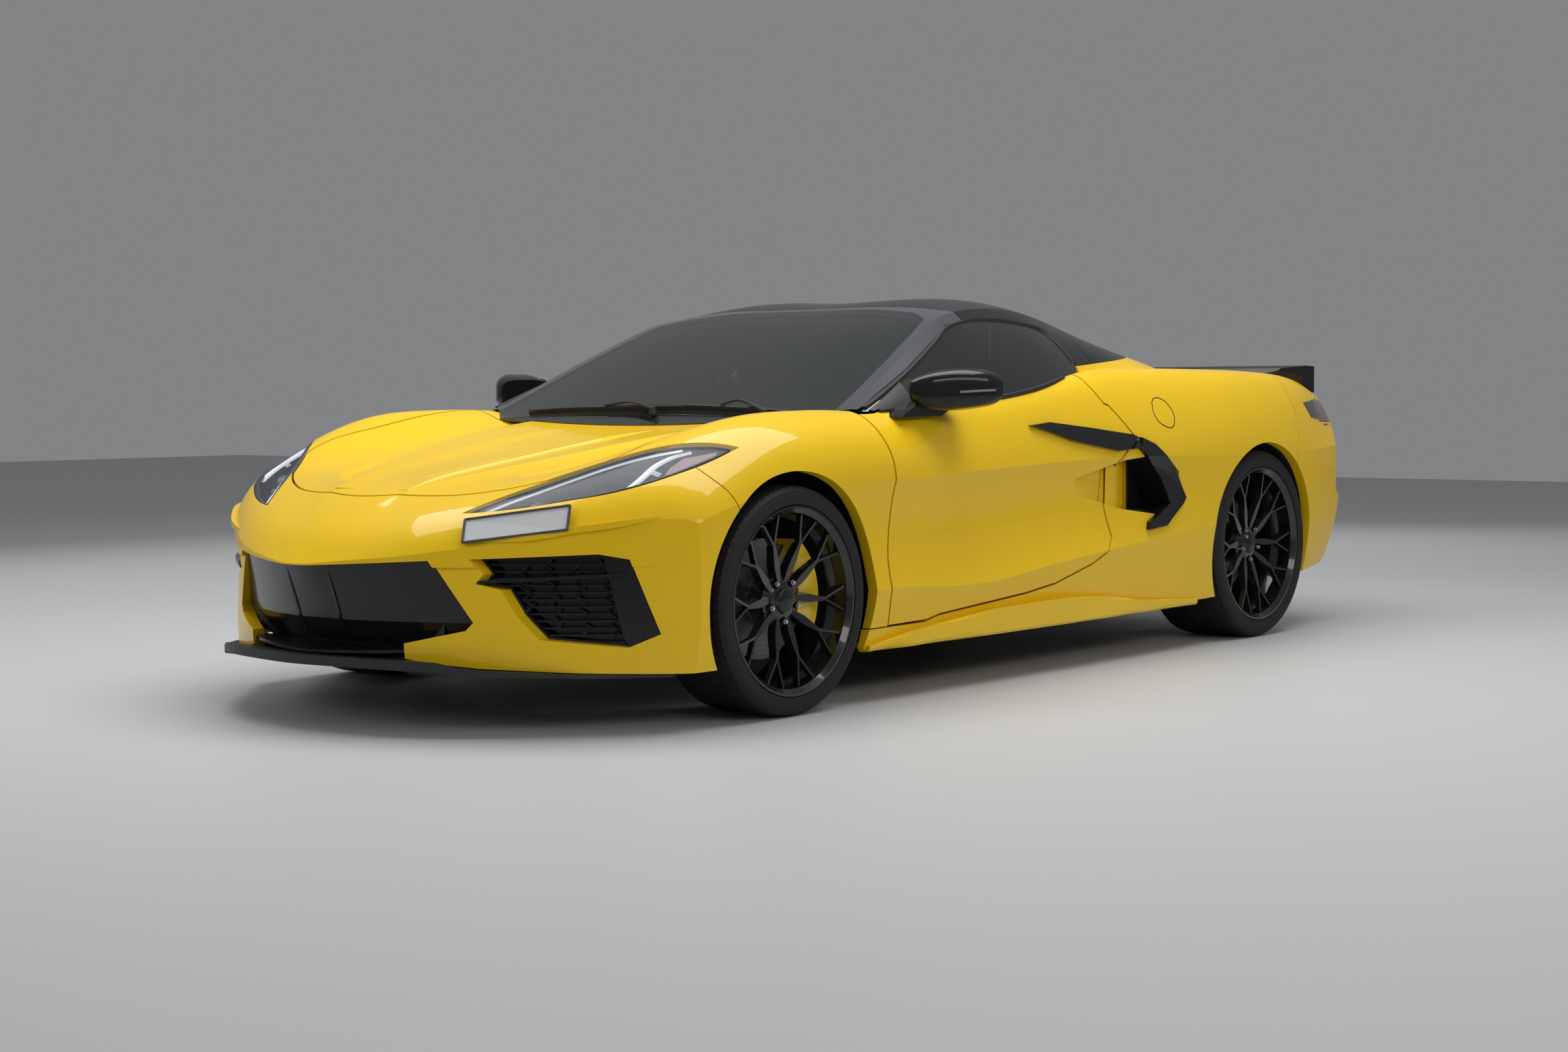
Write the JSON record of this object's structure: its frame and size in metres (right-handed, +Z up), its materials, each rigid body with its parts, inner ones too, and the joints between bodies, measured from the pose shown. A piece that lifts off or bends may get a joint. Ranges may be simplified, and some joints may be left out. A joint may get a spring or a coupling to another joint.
{
  "type": "coupe car",
  "caption": "Low mid-engined two-seat coupe car with opening doors, front lid and rear deck lid, steered front wheels and turning wheels.",
  "frame": {"origin": "on the floor, under the middle of the car's length and width", "axes": "+X towards the nose, +Y towards the car's left side, +Z up"},
  "size_m": [4.623, 2.11, 1.2325],
  "materials": {
    "paint": "gloss",
    "gloss_black": "gloss",
    "satin_black": "satin",
    "dark_grey": "gloss",
    "lamp_clear": "polished",
    "lamp_dark": "satin",
    "lamp_red": "gloss",
    "tinted_glass": "polished",
    "seat_leather": "satin",
    "cabin_black": "satin",
    "engine_metal": "satin",
    "bright_steel": "brushed",
    "cast_alloy": "satin",
    "arm_black": "satin",
    "caliper_yellow": "gloss",
    "tyre": "matte",
    "rim_black": "gloss",
    "disc_iron": "machined"
  },
  "bodies": {
    "body": {"front_bumper": "paint", "fenders": "paint", "cowl": "satin_black", "headlamp_lenses": "lamp_clear", "headlamps": "lamp_dark", "splitter": "gloss_black", "grilles": "satin_black", "side_blades": "gloss_black", "sills": "paint", "floor_pan": "satin_black", "seats": "seat_leather", "dashboard": "cabin_black", "front_trunk": "satin_black", "engine": "engine_metal", "windscreen": "tinted_glass", "windscreen_frame": "dark_grey", "roof_panel": "gloss_black", "sails": "gloss_black", "tonneau": "paint", "rear_window": "tinted_glass", "quarters": "paint", "tail_lamps": "lamp_red", "rear_bumper": "paint", "diffuser": "satin_black", "exhaust_tips": "bright_steel", "rear_knuckles": "cast_alloy", "rear_calipers": "caliper_yellow", "suspension": "arm_black", "arch_liners": "satin_black"},
    "door_left": {"door_left": "paint", "door_glass_left": "tinted_glass", "mirror_left": "gloss_black", "door_blade_left": "gloss_black"},
    "door_right": {"door_right": "paint", "door_glass_right": "tinted_glass", "mirror_right": "gloss_black", "door_blade_right": "gloss_black"},
    "hood": {"hood": "paint"},
    "deck_lid": {"deck_lid": "paint", "spoiler": "gloss_black"},
    "steering_wheel": {"steering_wheel": "cabin_black"},
    "knuckle_left": {"knuckle_left": "cast_alloy", "caliper_left": "caliper_yellow"},
    "knuckle_right": {"knuckle_right": "cast_alloy", "caliper_right": "caliper_yellow"},
    "wheel_front_left": {"tyre_front_left": "tyre", "rim_front_left": "rim_black", "disc_front_left": "disc_iron"},
    "wheel_front_right": {"tyre_front_right": "tyre", "rim_front_right": "rim_black", "disc_front_right": "disc_iron"},
    "wheel_rear_left": {"tyre_rear_left": "tyre", "rim_rear_left": "rim_black", "disc_rear_left": "disc_iron"},
    "wheel_rear_right": {"tyre_rear_right": "tyre", "rim_rear_right": "rim_black", "disc_rear_right": "disc_iron"}
  },
  "joints": [
    {"name": "door_left_hinge", "type": "hinge", "parent": "body", "child": "door_left", "pos_m": [0.778, 0.938, 0.5], "axis": [0, 0, -1], "range_deg": [0, 65]},
    {"name": "door_right_hinge", "type": "hinge", "parent": "body", "child": "door_right", "pos_m": [0.778, -0.938, 0.5], "axis": [0, 0, 1], "range_deg": [0, 65]},
    {"name": "hood_hinge", "type": "hinge", "parent": "body", "child": "hood", "pos_m": [0.89, 0, 0.864], "axis": [0, -1, 0], "range_deg": [0, 60]},
    {"name": "deck_lid_hinge", "type": "hinge", "parent": "body", "child": "deck_lid", "pos_m": [-1.354, 0, 0.975], "axis": [0, 1, 0], "range_deg": [0, 50]},
    {"name": "steer_left", "type": "hinge", "parent": "body", "child": "knuckle_left", "pos_m": [1.278, 0.72, 0.327], "axis": [0, 0, 1], "range_deg": [-32, 32]},
    {"name": "steer_right", "type": "hinge", "parent": "body", "child": "knuckle_right", "pos_m": [1.278, -0.72, 0.327], "axis": [0, 0, 1], "range_deg": [-32, 32]},
    {"name": "steering_wheel_turn", "type": "hinge", "parent": "body", "child": "steering_wheel", "pos_m": [0.408, 0.37, 0.74], "axis": [-0.9063, 0, 0.4226], "range_deg": [-464, 464]},
    {"name": "wheel_front_left_spin", "type": "hinge", "parent": "knuckle_left", "child": "wheel_front_left", "pos_m": [1.278, 0.824, 0.327], "axis": [0, 1, 0], "continuous": true},
    {"name": "wheel_front_right_spin", "type": "hinge", "parent": "knuckle_right", "child": "wheel_front_right", "pos_m": [1.278, -0.824, 0.327], "axis": [0, 1, 0], "continuous": true},
    {"name": "wheel_rear_left_spin", "type": "hinge", "parent": "body", "child": "wheel_rear_left", "pos_m": [-1.445, 0.793, 0.3455], "axis": [0, 1, 0], "continuous": true},
    {"name": "wheel_rear_right_spin", "type": "hinge", "parent": "body", "child": "wheel_rear_right", "pos_m": [-1.445, -0.793, 0.3455], "axis": [0, 1, 0], "continuous": true}
  ],
  "couplings": [
    {"joint": "steer_right", "follows": "steer_left", "ratio": 1},
    {"joint": "steering_wheel_turn", "follows": "steer_left", "ratio": 14.5}
  ]
}
